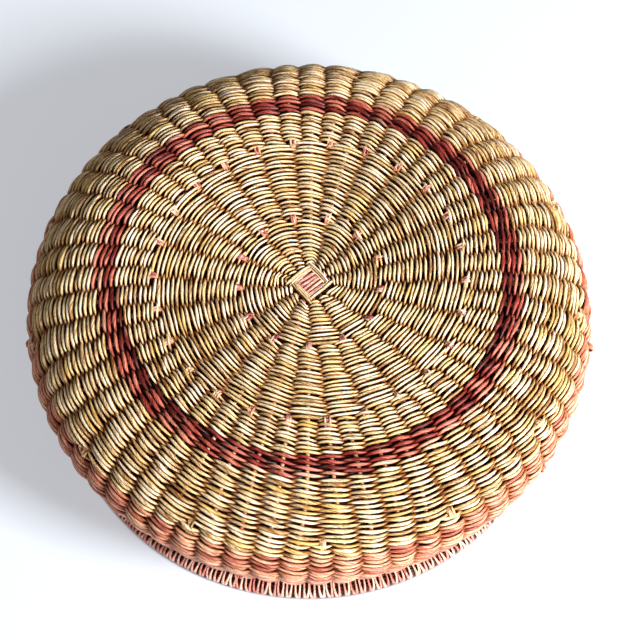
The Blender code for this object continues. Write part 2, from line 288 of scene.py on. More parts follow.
# A mesh from rings of points, tubes x rings x sides: each ring is joined to the next by quads, and the
# ends are closed by a face, or the last ring joins the first on a closed tube.
def tubeMesh(name, places, fibre, tint, closed):
    tubes, rings, sides = places.shape[:3]
    index = np.arange(tubes * rings * sides).reshape(tubes, rings, sides)
    nextSide = np.roll(index, -1, axis=2)
    if closed:
        a, b, c, d = index, nextSide, np.roll(nextSide, -1, axis=1), np.roll(index, -1, axis=1)
        caps = np.empty((0, sides), int)
    else:
        a, b, c, d = index[:, :-1], nextSide[:, :-1], nextSide[:, 1:], index[:, 1:]
        caps = np.concatenate((index[:, 0, ::-1], index[:, -1]))
    quads = np.stack((a, b, c, d), axis=-1).reshape(-1, 4)
    corners = np.concatenate((quads.ravel(), caps.ravel()))
    starts = np.concatenate((np.arange(len(quads)) * 4, quads.size + np.arange(len(caps)) * sides))
    mesh = bpy.data.meshes.new(name)
    mesh.vertices.add(index.size)
    mesh.vertices.foreach_set("co", places.astype(np.float32).ravel())
    mesh.loops.add(len(corners))
    mesh.loops.foreach_set("vertex_index", corners.astype(np.int32))
    mesh.polygons.add(len(starts))
    mesh.polygons.foreach_set("loop_start", starts.astype(np.int32))
    mesh.update(calc_edges=True)
    smooth = np.ones(len(starts), bool)
    smooth[len(quads):] = False
    mesh.polygons.foreach_set("use_smooth", smooth)
    for key, kind, channel, values in (("fibre", "FLOAT_VECTOR", "vector", fibre),
                                       ("tint", "FLOAT_COLOR", "color", tint)):
        layer = mesh.attributes.new(key, kind, "POINT")
        layer.data.foreach_set(channel, values.astype(np.float32).ravel())
    return mesh


def addObject(name, data, place=(0, 0, 0), turn=(0, 0, 0)):
    item = bpy.data.objects.new(name, data)
    item.location = place
    item.rotation_euler = turn
    bpy.context.scene.collection.objects.link(item)
    return item


# A finished piece: its tubes at the origin, on the only body, with the nodes it stands for hidden.
def addPiece(name, places, along, twist, tint, strawName, slotName, *nodes, closed=False):
    mesh = tubeMesh(name, places, fibrePlaces(along, places.shape[2], twist), tint, closed)
    mesh.materials.append(straws[strawName])
    piece = addObject(name, mesh)
    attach(piece, "root")
    if nodes:
        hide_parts(*nodes)
    return len(mesh.polygons) * 2


# A round section carried along paths, tubes x rings x 3: across is the tangent crossed with a guide, up is
# across crossed with the tangent, and a ring is the path plus across and up times the two half sizes.
def carryRound(path, guide, halfAcross, halfUp, sides, closed=False):
    if closed:
        tangent = np.roll(path, -1, axis=1) - np.roll(path, 1, axis=1)
    else:
        tangent = np.gradient(path, axis=1)
    tangent /= np.linalg.norm(tangent, axis=-1, keepdims=True)
    across = np.cross(tangent, guide)
    across /= np.linalg.norm(across, axis=-1, keepdims=True)
    up = np.cross(across, tangent)
    angle = evenAngles(sides)
    halfAcross = np.broadcast_to(halfAcross, path.shape[:2])[..., None, None]
    halfUp = np.broadcast_to(halfUp, path.shape[:2])[..., None, None]
    return (path[:, :, None] + across[:, :, None] * halfAcross * np.cos(angle)[:, None]
            + up[:, :, None] * halfUp * np.sin(angle)[:, None])


# Angles evenly round a full turn.
def evenAngles(sides):
    return np.arange(sides) * 2 * np.pi / sides


# Fibre coordinates of a tube: metres along it, and the cosine and sine of the angle round it, which
# turns with the fibres' twist.
def fibrePlaces(along, sides, twist):
    angle = evenAngles(sides) + along[..., None] * twist
    return np.stack((np.broadcast_to(along[..., None], angle.shape), np.cos(angle), np.sin(angle)), axis=-1)


# What a material reads on a tube's points: tone from dark to pale, share of the second colour, and painted
# light, a factor that darkens the colour where shade would fall.
def tintOf(places, tone, second, light):
    tint = np.ones((*places.shape[:3], 4))
    for channel, values in enumerate((tone, second, light)):
        tint[..., channel] = values
    return tint


# Painted light round a section: the sine of the angle times a slope, plus a level, and never less than the
# painted shade of a nook.
def paintedSideLight(sides, slope, level, paintedNook):
    return paintedNook + (1 - paintedNook) * np.clip(np.sin(evenAngles(sides)) * slope + level, 0, 1)


def newGroup(name, inputs, outputs):
    group = bpy.data.node_groups.new(name, "ShaderNodeTree")
    for way, sockets in (("INPUT", inputs), ("OUTPUT", outputs)):
        for label, kind in sockets.items():
            group.interface.new_socket(label, in_out=way, socket_type=kind)
    return group, group.nodes.new("NodeGroupInput").outputs, group.nodes.new("NodeGroupOutput").inputs


# A socket gets a link from another node, or a plain value.
def feed(tree, socket, value):
    if isinstance(value, bpy.types.NodeSocket):
        tree.links.new(value, socket)
    else:
        socket.default_value = value


def addNode(tree, kind, settings=None, values=None):
    node = tree.nodes.new(kind)
    for key, value in (settings or {}).items():
        setattr(node, key, value)
    for key, value in (values or {}).items():
        feed(tree, node.inputs[key], value)
    return node


def addMath(tree, operation, first, second, clamp=False):
    settings = {"operation": operation, "use_clamp": clamp}
    return addNode(tree, "ShaderNodeMath", settings, {0: first, 1: second}).outputs[0]


def mapRange(tree, value, ends):
    return addNode(tree, "ShaderNodeMapRange", None, {"Value": value, **ends}).outputs["Result"]


def mixColours(tree, factor, first, second, blend="MIX"):
    node = addNode(tree, "ShaderNodeMix", {"data_type": "RGBA", "blend_type": blend},
                   {"Factor": factor, "A": first, "B": second})
    return node.outputs["Result"]


def mixShaders(tree, factor, first, second):
    return addNode(tree, "ShaderNodeMixShader", None, {0: factor, 1: first, 2: second}).outputs["Shader"]


strawLook = {
    "stretch": (110.0, 3.2, 3.2),  # fibres a metre along the strand, and how fine they are round it
    "detail": 3.0,
    "roughness": 0.65,
    "blotchScale": 60.0,
    "blotchDetail": 2.0,
    "line": {"From Min": 0.38, "From Max": 0.51, "To Min": 0.26},
    "paintedShadePowers": {"Red": 0.75, "Green": 1.26, "Blue": 1.9},  # the deeper the painted shade, the warmer it is
    "gloss": {"To Min": 0.32, "To Max": 0.58},
    "specular": 0.35,
    "bump": 0.35,
    "bumpDepth": 0.0003,
}

# Dark, middle, pale and second colour of each straw, and how far its fibres stray from its tone
strawColours = {
    "naturalStraw": ((0.32, 0.14, 0.025), (0.92, 0.79, 0.50), (0.98, 0.94, 0.85), (0.88, 0.66, 0.20), 1.9),
    "redStraw": ((0.07, 0.003, 0.003), (0.34, 0.034, 0.030), (0.74, 0.26, 0.20), (0.90, 0.58, 0.46), 1.9),
    "pinkStraw": ((0.35, 0.07, 0.04), (0.62, 0.23, 0.15), (0.80, 0.47, 0.33), (0.87, 0.65, 0.44), 2.0),
    "rimStraw": ((0.42, 0.07, 0.07), (0.88, 0.38, 0.34), (0.95, 0.72, 0.66), (0.97, 0.93, 0.84), 1.9),
    "startStraw": ((0.22, 0.015, 0.02), (0.66, 0.20, 0.20), (0.93, 0.66, 0.62), (0.96, 0.86, 0.74), 2.4),
    "stakeStraw": ((0.30, 0.15, 0.07), (0.60, 0.38, 0.20), (0.88, 0.74, 0.52), (0.80, 0.40, 0.30), 0.55),
}


# Dry straw: fine fibres drawn out along the strand and turned with its twist, paler and darker lengths, and
# painted shade where the strand dives between the stakes, read from the tint's third channel.
def strawGroup():
    look = strawLook
    colour, value = "NodeSocketColor", "NodeSocketFloat"
    group, given, result = newGroup(
        "strawSurface", {"Dark": colour, "Middle": colour, "Pale": colour, "Second": colour, "Fibres": value},
        {"Color": colour, "Roughness": value, "Height": value})
    place = addNode(group, "ShaderNodeAttribute", {"attribute_name": "fibre"}).outputs["Vector"]
    tint = addNode(group, "ShaderNodeAttribute", {"attribute_name": "tint"}).outputs["Color"]
    parts = addNode(group, "ShaderNodeSeparateColor", None, {"Color": tint}).outputs
    drawn = addNode(group, "ShaderNodeVectorMath", {"operation": "MULTIPLY"}, {0: place, 1: look["stretch"]})
    fibre = addNode(group, "ShaderNodeTexNoise", None, {
        "Vector": drawn.outputs["Vector"], "Scale": 1.0, "Detail": look["detail"],
        "Roughness": look["roughness"]}).outputs["Fac"]
    blotch = addNode(group, "ShaderNodeTexNoise", None, {
        "Vector": place, "Scale": look["blotchScale"], "Detail": look["blotchDetail"]}).outputs["Fac"]
    # tone plus a share of the fibres picks the colour between dark, middle and pale
    stray = addMath(group, "MULTIPLY", addMath(group, "SUBTRACT", fibre, 0.5), given["Fibres"])
    tone = addMath(group, "ADD", stray, parts["Red"], clamp=True)
    toMiddle = mapRange(group, tone, {"From Min": 0.0, "From Max": 0.5})
    toPale = mapRange(group, tone, {"From Min": 0.5, "From Max": 1.0})
    darker = mixColours(group, toMiddle, given["Dark"], given["Middle"])
    paler = mixColours(group, toPale, darker, given["Pale"])
    dyed = mixColours(group, parts["Green"], paler, given["Second"])
    # thin dark lines where fibres part, on top of the strand's painted shade
    depth = addMath(group, "MULTIPLY", parts["Blue"], mapRange(group, fibre, look["line"]))
    paintedShade = addNode(group, "ShaderNodeCombineColor", None, {
        channel: addMath(group, "POWER", depth, power) for channel, power in look["paintedShadePowers"].items()})
    feed(group, result["Color"], mixColours(group, 1.0, dyed, paintedShade.outputs["Color"], "MULTIPLY"))
    feed(group, result["Roughness"], mapRange(group, blotch, look["gloss"]))
    feed(group, result["Height"], fibre)
    return group


def strawMaterial(name, dark, middle, pale, second, fibres):
    material = bpy.data.materials.new(name)
    material.use_nodes = True
    tree = material.node_tree
    shader = tree.nodes["Principled BSDF"].inputs
    straw = addNode(tree, "ShaderNodeGroup", {"node_tree": strawSurface}, {
        "Dark": (*dark, 1), "Middle": (*middle, 1), "Pale": (*pale, 1), "Second": (*second, 1),
        "Fibres": fibres}).outputs
    relief = addNode(tree, "ShaderNodeBump", None, {
        "Strength": strawLook["bump"], "Distance": strawLook["bumpDepth"], "Height": straw["Height"]})
    feed(tree, shader["Base Color"], straw["Color"])
    feed(tree, shader["Roughness"], straw["Roughness"])
    feed(tree, shader["Normal"], relief.outputs["Normal"])
    shader["Specular IOR Level"].default_value = strawLook["specular"]
    return material


strawSurface = strawGroup()
straws = {name: strawMaterial(name, *colours) for name, colours in strawColours.items()}
print("materials made:", len(straws))


# Rows pulled square near the start: distance plus the square's overrun there, fading out with distance.
def pullSquare(distance, turn):
    fade = np.clip((weave["squareFade"] - distance) / (weave["squareFade"] - startLine), 0, 1)
    return distance + (squareEdge(turn) - bands["startHalfSide"]) * fade


# Painted light on the weaving: a strand is painted lit on its outer side over the stakes and on its inner
# side inside them, and painted dark down its sides and in the nooks.
paintedWeaveLight = {
    "turnOver": 2.2,  # how soon after a crossing the lit side changes
    "outerLevel": 0.65,  # and how much longer it is the outer one
    "crestFrom": -0.05,
    "crestSpan": 0.85,
    "crossing": 0.50,  # painted light that is left at a crossing
    "floatSlope": 2.4,
    "paintedNook": 0.015,
}


# Two strands that pass each stake one outside and one inside: the offset follows a flattened cosine of the
# stakes passed, the move across the row its sine, and the second strand is half a turn behind the first.
def addWeave(name, firstTurns, lastTurns, strawName, slotName, *nodes, second=(-0.9, 0.75), drift=(0, 0)):
    draws = np.random.default_rng(weave["seed"] + int(firstTurns * 10))
    first = int(np.searchsorted(passedTurns, firstTurns))
    last = min(int(np.searchsorted(passedTurns, lastTurns)), len(passedTurns) - 1)
    steps = weave["stepsPerStake"]
    passed = np.arange((last - first) * steps + 1) / steps + first - 0.5
    passed = np.clip(passed, 0, len(passedTurns) - 1)
    since = np.stack((passed, passed)) - passed[0]
    size, every = uneven["along"]
    stray = size * wander(draws, since[0], every, -1, 1)
    stray[:steps] = stray[-steps:] = 0
    turns = np.interp(passed + stray, np.arange(len(passedTurns)), passedTurns)
    row = rowDistance(turns)
    pitch = rowDistance(turns + 0.5) - rowDistance(turns - 0.5)
    phase = np.array((0.0, 1.0))[:, None]
    wave = np.cos(np.pi * (passed[None] + phase))
    cross = np.sin(np.pi * (passed[None] + phase))
    lift = np.abs(wave) ** weave["roundness"]
    acrossSize, every = uneven["across"]
    jitter = wanderEach(draws, since, every, -1, 1)
    heightSize, every = uneven["height"]
    swell = wanderEach(draws, since, every, -1, 1)
    offset = weave["floatHeight"] * np.sign(wave) * lift + weave["crossingLift"] * cross * cross
    offset = offset + heightSize * swell
    across = pitch * ((weave["slant"] + uneven["slant"] * swell) * cross + acrossSize * jitter)
    floatWidth = np.interp(row, (redStart, bellyLine), weave["halfWidth"])
    fullWidth = np.where(wave > 0, floatWidth * (1 + uneven["width"] * swell), weave["innerHalfWidth"])
    atCrossing = weave["crossingHalfWidth"]
    size, every = uneven["thinning"]
    thickness = 1 + size * wanderEach(draws, since, every, -1, 1)
    halfWidth = pitch * thickness * (atCrossing + (fullWidth - atCrossing) * lift ** weave["taper"])
    halfThickness = weave["halfThickness"] * thickness * (1 + uneven["thickness"] * jitter)
    halfThickness = halfThickness * (1 + weave["onEdge"] * (1 - lift))
    angle = evenAngles(weave["sides"])
    distance = (row + across)[..., None] + halfWidth[..., None] * np.cos(angle)
    away = offset[..., None] + halfThickness[..., None] * np.sin(angle)
    turn = firstTurn + 2 * np.pi * np.broadcast_to(turns[None, :, None], distance.shape)
    places = onWall(pullSquare(distance, turn), away, turn)
    along = pathLengths(places.mean(axis=2))
    # each straw has its own tone for some centimetres, and each float strays from it a little
    low, high, every = uneven["tone"]
    straw = wanderEach(draws, along, every, low, high)
    size, every = uneven["floatTone"]
    floats = wanderEach(draws, since, every, -size, size)
    hue = wanderEach(draws, along, uneven["hueLength"], *second)
    tone = straw + floats + np.interp(turns, (firstTurns, lastTurns), drift)
    look = paintedWeaveLight
    # painted light: each strand's lit side is paler, and its sides and crossings are darker, as shade falls
    # there
    side = np.clip(look["turnOver"] * wave + look["outerLevel"], -1, 1)[..., None] * np.sin(angle)
    crest = np.clip((side - look["crestFrom"]) / look["crestSpan"], 0, 1)
    shown = look["crossing"] + (1 - look["crossing"]) * np.clip(np.abs(wave) * look["floatSlope"], 0, 1)
    light = look["paintedNook"] + (1 - look["paintedNook"]) * crest * shown[..., None]
    tint = tintOf(places, np.clip(tone, 0, 1)[..., None], np.clip(hue, 0, 1)[..., None], light)
    along = along + np.array(uneven["fibreStart"])[:, None]
    count = addPiece(name, places, along, weave["twist"], tint, strawName, slotName, *nodes)
    print(name, count, "triangles")


natural = ("naturalStraw", "natural_straw")
red = ("redStraw", "red_straw")
pink = ("pinkStraw", "pink_straw")
palePink = ("startStraw", "pink_straw")
onBase = (0.06, 0.06)  # the natural straw is a little paler on the base than on the wall
onSides = (-0.05, -0.05)
rows = weave["rows"]
paleRed = rows[4] - 1.2  # the red straw grows paler from row to row, and its last row is the palest
middle = (rows[4] + rows[5]) / 2
addWeave("weave_at_start", *rows[0:2], *natural, "base_weft_outer", "base_weft_inner", drift=onBase)
addWeave("weave_past_first_ring", *rows[1:3], *natural, "base_weft_outer", drift=onBase)
addWeave("weave_past_second_ring", *rows[2:4], *natural, "base_weft_outer", drift=onBase)
addWeave("weave_red_band", rows[3], paleRed, *red, "red_weft_outer", "red_weft_inner",
         second=(-2.0, 0.45), drift=(-0.34, 0.12))
addWeave("weave_red_last_row", paleRed, rows[4], *red, "red_weft_outer",
         second=(-0.9, 1.0), drift=(0.12, 0.24))
addWeave("weave_of_shoulder", rows[4], middle, *natural, "wall_weft_outer", "wall_weft_inner", drift=onSides)
addWeave("weave_of_wall", middle, rows[5], *natural, "wall_weft_outer", drift=onSides)
pinkEdges = np.linspace(rows[5], rows[6], 4)
for number, (low, high) in enumerate(zip(pinkEdges, pinkEdges[1:])):
    addWeave(f"weave_pink_{number + 1}", float(low), float(high), *pink, "pink_weft_outer", "pink_weft_inner")

# Stakes: round twisted straws along the middle of the wall, whose cut ends stand out
stakes = {
    "radius": 0.0011,
    "sides": 8,
    "step": 0.0035,
    "endOffset": 0.0019,  # of a cut end over the middle of the wall
    "endAhead": 0.0022,  # how far the cut end reaches past the row it is held by
    "rise": 0.009,  # length over which a stake comes out to its cut end
    "inRim": 0.0016,  # how far a stake reaches into the rim
    "toneLength": 0.02,
    "tone": (0.2, 0.8),
    "second": 0.25,
    # painted light: levels that darken a ring stake's and a rod's colour, as shade on them
    "light": 0.9,
    "paintedRodLight": 0.75,
    "twist": 500.0,
    "guide": 0.01,  # how far out of the wall a guide reaches
}
stakeFoot = distanceDownTo(rim["height"] - stakes["inRim"])


# A stake straw: a round section along its path, with its own tones, drawn from its name, and an even painted
# shade.
def addStraw(name, path, guide, strawName, *nodes, second=0.0, light=stakes["paintedRodLight"]):
    draws = np.random.default_rng(sum(ord(letter) for letter in name))
    places = carryRound(path, guide, stakes["radius"], stakes["radius"], stakes["sides"])
    along = pathLengths(path)
    tone = wanderEach(draws, along, stakes["toneLength"], *stakes["tone"])
    tint = tintOf(places, tone[..., None], second, light)
    addPiece(name, places, along, stakes["twist"], tint, strawName, "stake_straw", *nodes)


# Path of a stake from its cut end down to the rim: stations down the wall at the stake's turn, lifted off the
# middle line near the cut end by a square law.
def stakePath(slot, start, rise=True):
    count = int((stakeFoot - start) / stakes["step"]) + 2
    distance = np.linspace(start, stakeFoot, count)
    lift = np.clip(1 - (distance - start) / stakes["rise"], 0, 1) ** 2 * stakes["endOffset"] * rise
    return pathAndGuide(distance[None], lift[None], stakeTurn(slot, distance)[None])


# A path on the wall, and its guide, the direction out of the wall.
def pathAndGuide(distance, offset, turn):
    path = onWall(distance, offset, turn)
    return path, onWall(distance, offset + stakes["guide"], turn) - path


def addRingStake(name, slot, line, *nodes):
    path, guide = stakePath(slot, line - stakes["endAhead"])
    addStraw(name, path, guide, "stakeStraw", *nodes, second=stakes["second"], light=stakes["light"])


def addRingStakes():
    slots = stakePlan["slots"]
    groups = range(stakePlan["groups"])
    for ring, ringSlots, line in (("first_ring", (2,), firstRing), ("second_ring", (1, 4), secondRing)):
        places = [group * slots + slot for group in groups for slot in ringSlots]
        for index, slot in enumerate(places):
            addRingStake(f"{ring}_straw_{index + 1:02d}", slot, line, f"{ring}_stake_{index + 1:02d}")
    for group in groups:
        line = thirdRing["distance"] + thirdRing["reach"][group]
        addRingStake(f"third_ring_straw_{group + 1:02d}", group * slots + thirdRing["slot"], line)


addRingStakes()

# The folded end of a pushed-in stake: short straws side by side, which stand out between two rows
foldedEnd = {
    "straws": 3,
    "spacing": 0.00105,
    "stray": 0.0003,
    "radius": 0.00068,
    "before": 0.0026,  # how far they reach towards the start from the ring
    "beforeShares": (0.5, 1.2),
    "past": 0.0044,  # and down the wall
    "pastShares": (0.6, 1.2),
    "offset": 0.0031,  # of their highest point over the middle of the wall
    "offsetShares": (0.80, 1.0),
    "archFrom": 0.12,  # where on half a sine they come out, and how much of it they follow
    "archSpan": 0.8,
    "steps": 9,
    "sides": 6,
    "fibreLength": 0.007,
    "tone": (0.0, 0.8),
    "second": (-0.9, 0.9),
    # painted light: the straws are darker at their ends and on one side, as shade falls there
    "paintedEndLight": 0.25,
    "sideLevel": 0.35,
    "sideSlope": 0.8,
    "paintedNook": 0.05,
    "seed": 31,
}

# Places on the lower wall where a new straw was joined in and its end stands out
joins = {
    "slots": (57, 62, 32, 8, 45),
    "pastBelly": (0.006, -0.001, 0.003, 0.014, 0.020),
    "offset": 0.0052,
}


# Folded ends of one ring: for each place a few short straws, whose offset follows half a sine from under one
# row to under the next.
def addFoldedEnds(name, slots, lines, strawName, slotName, height=foldedEnd["offset"]):
    fold = foldedEnd
    draws = np.random.default_rng(fold["seed"] + len(slots))
    share = np.linspace(0, 1, fold["steps"])
    ends = np.repeat(np.arange(len(slots)), fold["straws"])
    straw = np.tile(np.arange(fold["straws"]), len(slots))
    before = fold["before"] * draws.uniform(*fold["beforeShares"], len(ends))
    past = fold["past"] * draws.uniform(*fold["pastShares"], len(ends))
    distance = np.asarray(lines)[ends][:, None] - before[:, None] + (before + past)[:, None] * share
    beside = (straw - (fold["straws"] - 1) / 2) * fold["spacing"]
    beside = beside + draws.uniform(-fold["stray"], fold["stray"], len(ends))
    turn = stakeTurn(np.asarray(slots)[ends], 0 * before)[:, None]
    turn = turn + beside[:, None] / wallPoint(distance, 0)[0]
    arch = np.sin(np.pi * (fold["archFrom"] + fold["archSpan"] * share))
    offset = height * arch * draws.uniform(*fold["offsetShares"], len(ends))[:, None]
    path, guide = pathAndGuide(distance, offset, turn)
    places = carryRound(path, guide, fold["radius"], fold["radius"], fold["sides"])
    along = share * fold["fibreLength"] + draws.uniform(0, 1, len(ends))[:, None]
    tone = draws.uniform(*fold["tone"], len(ends))[:, None, None]
    hue = draws.uniform(*fold["second"], len(ends)).clip(0, 1)[:, None, None]
    # painted shade at the straws' ends and down one side of each
    side = np.clip(fold["sideLevel"] + fold["sideSlope"] * np.sin(evenAngles(fold["sides"])), fold["paintedNook"], 1)
    light = (fold["paintedEndLight"] + (1 - fold["paintedEndLight"]) * np.sin(np.pi * share))[:, None] * side
    addPiece(name, places, along, stakes["twist"], tintOf(places, tone, hue, light), strawName, slotName)


def addAllFoldedEnds():
    groups = np.arange(stakePlan["groups"]) * stakePlan["slots"]
    both = np.concatenate((groups + 1, groups + 4))
    third = thirdRing["distance"] + np.array(thirdRing["reach"])
    addFoldedEnds("first_ring_folded_ends", groups + 2, np.full(len(groups), firstRing), *palePink)
    addFoldedEnds("second_ring_folded_ends", both, np.full(len(both), secondRing), *palePink)
    addFoldedEnds("third_ring_folded_ends", groups + thirdRing["slot"], third, *natural)
    joined = bellyLine + np.array(joins["pastBelly"])
    addFoldedEnds("joined_straw_ends", joins["slots"], joined, *pink, joins["offset"])


addAllFoldedEnds()

# The start: rods crossing in the square, each with the groups at its head and tail and its place beside
# the middle, natural ones under pink ones
rods = {
    "over": ((2, 7, 1), (1, 8, 0), (0, 9, -1)),
    "under": ((5, 10, 1), (4, 11, 0), (3, 12, -1)),
    "single": 6,
    "pitch": 0.0025,
    "depthOver": 0.0019,
    "depthUnder": 0.0047,
    "clearance": 0.0015,  # from the square's edge to where a rod becomes a stake
    "singleClearance": 0.001,
    "span": 0.62,  # of the straight run, as a share of the square
    "steps": 7,
    "guideLean": 4,  # how fast the guide leans outwards away from the middle
}
startTop = form["height"] - form["dishDepth"]


# Unit vectors ahead at a turn and to the left of it.
def aheadAndLeft(turn):
    ahead = np.array((math.cos(turn), math.sin(turn), 0))
    return ahead, np.array((-ahead[1], ahead[0], 0))


# A rod of the start: two stakes joined by a straight run through the square, in the direction of the rod.
def addRods():
    for number, (head, tail, side) in enumerate(rods["over"] + rods["under"]):
        over = number < len(rods["over"])
        ahead, leftwards = aheadAndLeft(startTurn if over else startTurn + math.pi / 2)
        runs = []
        for group, way in ((tail, -1), (head, 1)):
            slot = group * stakePlan["slots"]
            reach = float(squareEdge(stakeTurn(slot, startLine)))
            path, guide = stakePath(slot, reach + rods["clearance"], rise=False)
            runs.append(path[0][::way])
        span = np.linspace(-rods["span"], rods["span"], rods["steps"])[:, None] * bands["startHalfSide"]
        middle = ahead * span + leftwards * side * rods["pitch"]
        middle[:, 2] = startTop - (rods["depthOver"] if over else rods["depthUnder"])
        path = np.concatenate((runs[0], middle, runs[1]))[None]
        guide = np.ones_like(path)
        guide[..., :2] = path[..., :2] * rods["guideLean"]
        addStraw(f"start_rod_straw_{number + 1}", path, guide, "pinkStraw" if over else "stakeStraw",
                 f"start_rod_{number + 1}")
    line = bands["startHalfSide"] + rods["singleClearance"]
    path, guide = stakePath(rods["single"] * stakePlan["slots"], line, rise=False)
    addStraw("start_rod_straw_single", path, guide, "stakeStraw", "start_rod_single")


addRods()

# Strands laid over the start: the binding round the square, and the pink straws inside it
start = {
    "turn": math.radians(42),
    "steps": 17,
    "sides": 8,
    "depth": 0.0006,  # of the strands' middles below the top of the start
    "halfHeight": 0.00085,
    "fibreLength": 0.016,
    "fibreStart": 0.7,
    "twist": 300.0,
    # painted light: dark down each strand's sides, as shade between the strands
    "light": {"slope": 1.6, "level": -0.40, "paintedNook": 0.03},
    "seed": 7,
}
binding = {
    # half widths of the straws laid on each side, from the outside in, beginning with the upper right side
    "sides": ((0.00060, 0.00050, 0.00040), (0.00095, 0.00065),
              (0.00070, 0.00055, 0.00045), (0.00085, 0.00050)),
    "spacing": 1.02,
    "overrun": 0.22,  # how far a side's straws run past the corner ahead, as a share of half a side
    "overrunStep": 0.12,  # and how much less each further straw does
    "behind": 0.98,  # where they begin, as a share of half a side
    "bow": 0.0004,
    "bowShares": (0.5, 1.5),
    "crown": 0.0004,
    "step": 0.0003,  # how much lower each further straw lies
    "behindDip": (0.0026, 0.35, 1.4),  # how deep a straw dips, from what share on, and its power
    "aheadDip": (0.0030, 0.75, 1.2),
    "taper": (1.15, 0.5),
    "tone": (0.10, 0.75),
}
pinkStrands = {
    "count": 6,
    "pitch": 0.0021,
    "radius": 0.00094,
    "radiusChange": 0.25,
    "stray": 0.0002,
    "tilt": 0.09,
    "reach": 0.95,
    "depth": 0.0004,
    "dip": 0.0016,
    "tone": (0.50, 1.0),
}


# The binding: on each side of the square a few straws of unlike widths, bowed outwards by a parabola. They
# run past the corner ahead and dip under the next side's straws at the corner behind.
def addBinding(draws, share, top):
    half = bands["startHalfSide"]
    paths, widths, tones = [], [], []
    for side, sideStraws in enumerate(binding["sides"]):
        out, ahead = aheadAndLeft(start["turn"] + side * math.pi / 2)
        away = half
        for number, width in enumerate(sideStraws):
            away -= width
            run = 2 + binding["overrun"] - binding["overrunStep"] * number
            reach = half * (1 + share) / 2 * run - half * binding["behind"]
            bow = draws.uniform(*binding["bowShares"]) * binding["bow"] * (1 - share**2)
            path = out * (away + bow)[:, None] + ahead * reach[:, None]
            path[:, 2] = top
            for way, (depth, begin, power) in ((-1, binding["behindDip"]), (1, binding["aheadDip"])):
                path[:, 2] -= depth * np.clip(way * share - begin, 0, 1)**power
            path[:, 2] += binding["crown"] * (1 - share**2)
            path[:, 2] -= binding["step"] * number
            away -= width * binding["spacing"]
            paths.append(path)
            widths.append(width * np.clip(binding["taper"][0] - binding["taper"][1] * share**4, 0, 1))
            tones.append(draws.uniform(*binding["tone"]))
    layStrands("start_binding_straws", paths, widths, tones, *natural, "start_binding")


# The pink strands lie side by side inside the binding, a little tilted, and their ends dip by a fourth power.
def addPinkStrands(draws, share, top):
    half = bands["startHalfSide"]
    look = pinkStrands
    ahead, leftwards = aheadAndLeft(start["turn"])
    paths, widths, tones = [], [], []
    for strand in range(look["count"]):
        beside = (strand - (look["count"] - 1) / 2) * look["pitch"]
        beside += draws.uniform(-look["stray"], look["stray"])
        beside = beside + draws.uniform(-look["tilt"], look["tilt"]) * share * half
        path = ahead * (share * half * look["reach"])[:, None] + leftwards * beside[:, None]
        path[:, 2] = top - look["depth"] - look["dip"] * share**4
        paths.append(path)
        widths.append(look["radius"] * (1 + look["radiusChange"] * draws.uniform(-1, 1)) + 0 * share)
        tones.append(draws.uniform(*look["tone"]))
    layStrands("start_pink_straws", paths, widths, tones, *palePink)


# Strands of the start carried along their paths, each with its own width and tone, with painted shade down
# their sides.
def layStrands(name, paths, widths, tones, strawName, slotName, *nodes):
    path = np.stack(paths)
    width = np.stack(widths)
    guide = np.zeros_like(path)
    guide[..., 2] = 1
    places = carryRound(path, guide, width, np.minimum(width, start["halfHeight"]), start["sides"])
    along = np.broadcast_to(np.linspace(0, start["fibreLength"], path.shape[1]), path.shape[:2])
    along = along + np.arange(len(path))[:, None] * start["fibreStart"]
    tint = tintOf(places, np.array(tones)[:, None, None], 0, paintedSideLight(start["sides"], **start["light"]))
    addPiece(name, places, along, start["twist"], tint, strawName, slotName, *nodes)


startDraws = np.random.default_rng(start["seed"])
startShare = np.linspace(-1, 1, start["steps"])
addBinding(startDraws, startShare, startTop - start["depth"])
addPinkStrands(startDraws, startShare, startTop - start["depth"])
print("stakes and start laid")

rimCore = {
    "outerStraws": 12,
    "innerStraws": 4,
    "radius": 0.00105,
    "halfWidth": 0.0040,  # of the oval that the outer straws' middles lie on
    "halfHeight": 0.0017,
    "innerShare": 0.45,  # of that oval for the inner straws
    "lay": 3,  # times that the straws turn round each other on the way round
    "steps": 390,
    "sides": 6,
    # painted shade: the core is darkened almost to black
    "light": 0.08,
    "seed": 3,
}


# The rim's core: straws on an outer and an inner oval, which turn round each other on their way round. They
# are painted almost black, as the deep shade inside the rim.
def addRimCore():
    turn = evenAngles(rimCore["steps"])
    paths = []
    for count, size in ((rimCore["outerStraws"], 1), (rimCore["innerStraws"], rimCore["innerShare"])):
        for straw in range(count):
            lay = rimCore["lay"] * turn + straw * 2 * np.pi / count
            radius = rimMiddle + size * rimCore["halfWidth"] * np.cos(lay)
            up = rim["height"] / 2 + size * rimCore["halfHeight"] * np.sin(lay)
            paths.append(np.stack((radius * np.cos(turn), radius * np.sin(turn), up), axis=-1))
    path = np.stack(paths)
    guide = np.broadcast_to(np.array((0.0, 0.0, 1.0)), path.shape)
    places = carryRound(path, guide, rimCore["radius"], rimCore["radius"], rimCore["sides"], closed=True)
    along = np.broadcast_to(turn * rimMiddle, path.shape[:2])
    draws = np.random.default_rng(rimCore["seed"])
    tone = wanderEach(draws, along, stakes["toneLength"], *stakes["tone"])
    tint = tintOf(places, tone[..., None], 0, rimCore["light"])
    addPiece("rim_core_straws", places, along, 0.0, tint, "stakeStraw", "stake_straw", "rim_core",
             closed=True)


